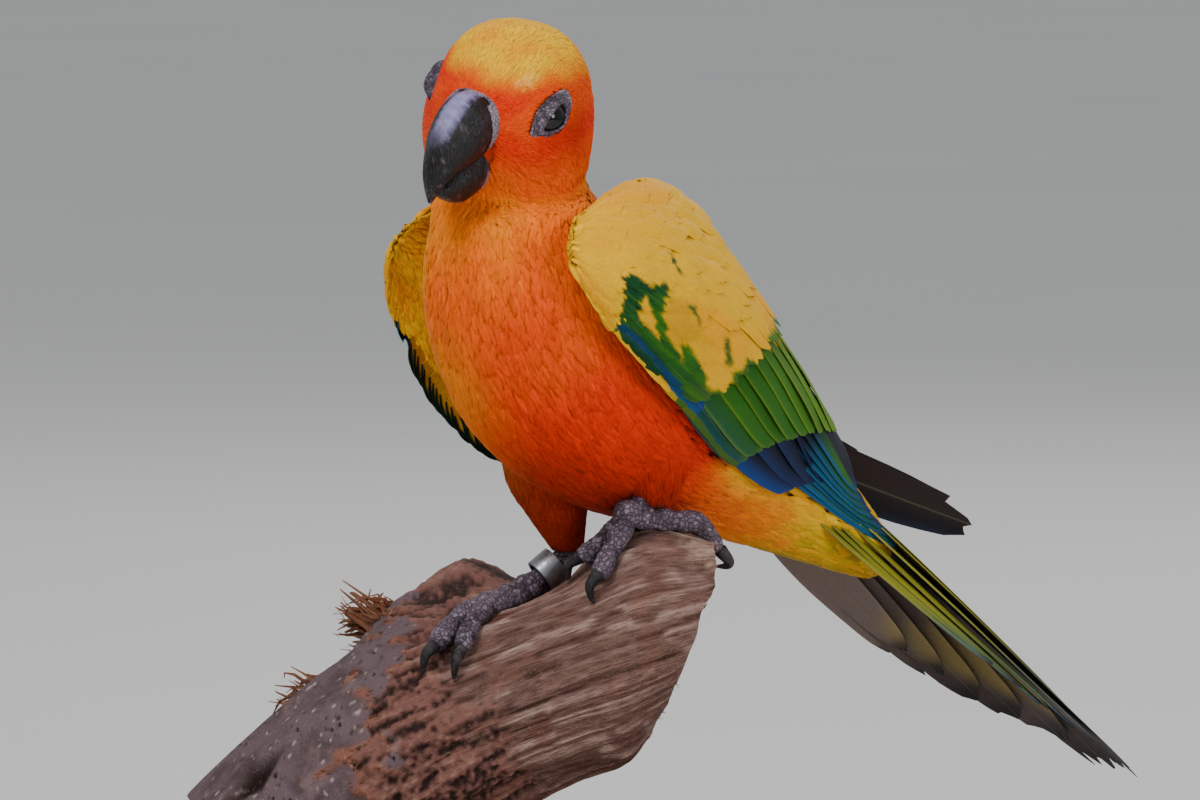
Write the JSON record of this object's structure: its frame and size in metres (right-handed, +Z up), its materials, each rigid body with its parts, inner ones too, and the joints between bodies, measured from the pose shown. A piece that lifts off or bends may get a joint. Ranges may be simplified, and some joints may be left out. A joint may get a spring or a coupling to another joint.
{
  "type": "perched sun conure display model",
  "caption": "Life-size still model of a yellow and orange sun conure gripping a cut branch, held over a plain display base.",
  "frame": {"origin": "middle of the underside of the stand's base, on the surface it stands on", "axes": "+Z up; +Y from the bird's breast towards its tail; +X towards the bird's left side"},
  "size_m": [0.1211, 0.2512, 0.2097],
  "materials": {
    "orange_plumage": "soft body feathers, golden on the crown, orange-red on the face, breast and belly",
    "yellow_plumage": "soft yellow feathers on the shoulders, back and under the tail",
    "wing_feathers": "smooth flight feathers, green and yellow with blue-black tips",
    "tail_feathers": "long olive and grey-brown feathers with darker tips",
    "black_horn": "worn black bill horn with a grey sheen",
    "dark_eye": "wet dark brown eye",
    "grey_scales": "dry purplish-grey scaled skin",
    "claw_horn": "dark claw horn",
    "ring_metal": "plain dull grey metal ring",
    "weathered_wood": "weathered reddish-brown branch with peeling bark",
    "oiled_wood": "plain oiled wooden display base",
    "brushed_metal": "brushed steel rod"
  },
  "bodies": {
    "root": {"head": "orange_plumage", "neck": "orange_plumage", "torso": "orange_plumage", "rump": "yellow_plumage", "tail": "tail_feathers", "bill_upper": "black_horn", "bill_lower": "black_horn", "eye_l": "dark_eye", "eye_r": "dark_eye", "wing_l": "wing_feathers", "wing_r": "wing_feathers", "thigh_l": "orange_plumage", "thigh_r": "orange_plumage", "foot_l": "grey_scales", "foot_r": "grey_scales", "claw_l_1": "claw_horn", "claw_l_2": "claw_horn", "claw_l_3": "claw_horn", "claw_l_4": "claw_horn", "claw_r_1": "claw_horn", "claw_r_2": "claw_horn", "claw_r_3": "claw_horn", "claw_r_4": "claw_horn", "leg_band": "ring_metal", "perch_branch": "weathered_wood", "stand_base": "oiled_wood", "stand_rod_1": "brushed_metal", "stand_rod_2": "brushed_metal"}
  },
  "joints": []
}
